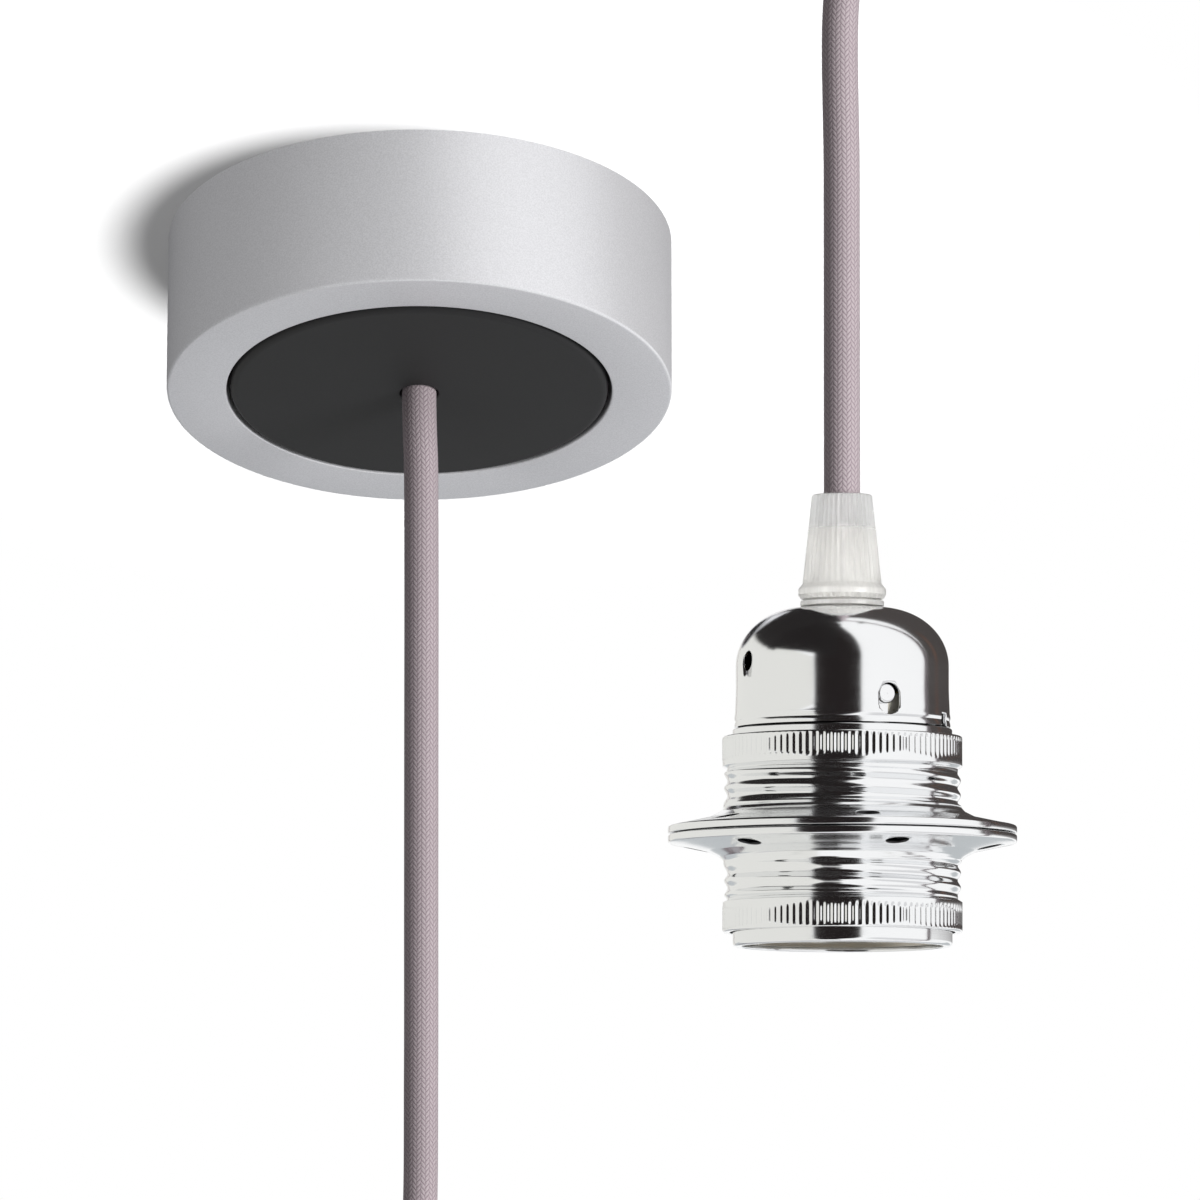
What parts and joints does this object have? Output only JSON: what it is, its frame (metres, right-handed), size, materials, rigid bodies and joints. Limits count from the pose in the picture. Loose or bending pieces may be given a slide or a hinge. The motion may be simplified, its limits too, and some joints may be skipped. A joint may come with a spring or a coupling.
{
  "type": "pendant cord set",
  "caption": "Pendant cord set with satin ceiling canopy, textile cord and chrome lamp holder with shade rings.",
  "frame": {"origin": "centre of the canopy's ceiling side, on the top face of its bracket", "axes": "+Z plumb up. The ceiling slopes: its normal into the ceiling is (0, 0.3584, 0.9336), so the canopy's face looks down and towards -Y, where the holder hangs. +X is to the right seen from -Y."},
  "size_m": [0.1885, 0.2414, 0.3384],
  "materials": {
    "satin_aluminium": "satin, fine turned grain",
    "black_matt_paint": "matt",
    "polished_chrome": "mirror polished",
    "zinc_steel": "zinc plated",
    "brass": "bright",
    "clear_plastic": "clear polycarbonate",
    "white_plastic": "semi-matt nylon",
    "glazed_ceramic": null,
    "mauve_textile_braid": "woven rayon braid, soft sheen",
    "brown_insulation": "smooth PVC",
    "blue_insulation": "smooth PVC",
    "earth_insulation": "smooth PVC, green with a yellow stripe",
    "black_woven_tape": "matt hook-and-loop tape"
  },
  "bodies": {
    "root": {"canopy_cup": "satin_aluminium", "cover_disc": "black_matt_paint", "holder_dome": "polished_chrome", "dome_catch": "polished_chrome", "upper_shade_ring": "polished_chrome", "lower_shade_ring": "polished_chrome", "threaded_sleeve": "polished_chrome", "ceiling_bracket": "zinc_steel", "disc_nut": "zinc_steel", "canopy_screw_1": "zinc_steel", "canopy_screw_2": "zinc_steel", "clamp_screw_1": "zinc_steel", "clamp_screw_2": "zinc_steel", "grip_locknut": "zinc_steel", "earth_screw": "zinc_steel", "terminal_screw_live": "zinc_steel", "terminal_screw_neutral": "zinc_steel", "ceiling_hook": "zinc_steel", "terminal_screw_1": "brass", "terminal_screw_2": "brass", "terminal_screw_3": "brass", "earth_tag": "brass", "screw_shell": "brass", "shell_rivet": "brass", "centre_contact": "brass", "terminal_live": "brass", "terminal_neutral": "brass", "grip_cap": "clear_plastic", "grip_body": "clear_plastic", "clamp_base": "white_plastic", "clamp_saddle": "white_plastic", "terminal_block": "white_plastic", "ceramic_core": "glazed_ceramic", "cord_canopy_drop": "mauve_textile_braid", "cord_coil": "mauve_textile_braid", "cord_holder_run": "mauve_textile_braid", "canopy_core_live": "brown_insulation", "holder_core_live": "brown_insulation", "canopy_core_neutral": "blue_insulation", "holder_core_neutral": "blue_insulation", "canopy_core_earth": "earth_insulation", "holder_core_earth": "earth_insulation", "coil_tie_1": "black_woven_tape", "coil_tie_2": "black_woven_tape"}
  },
  "joints": []
}
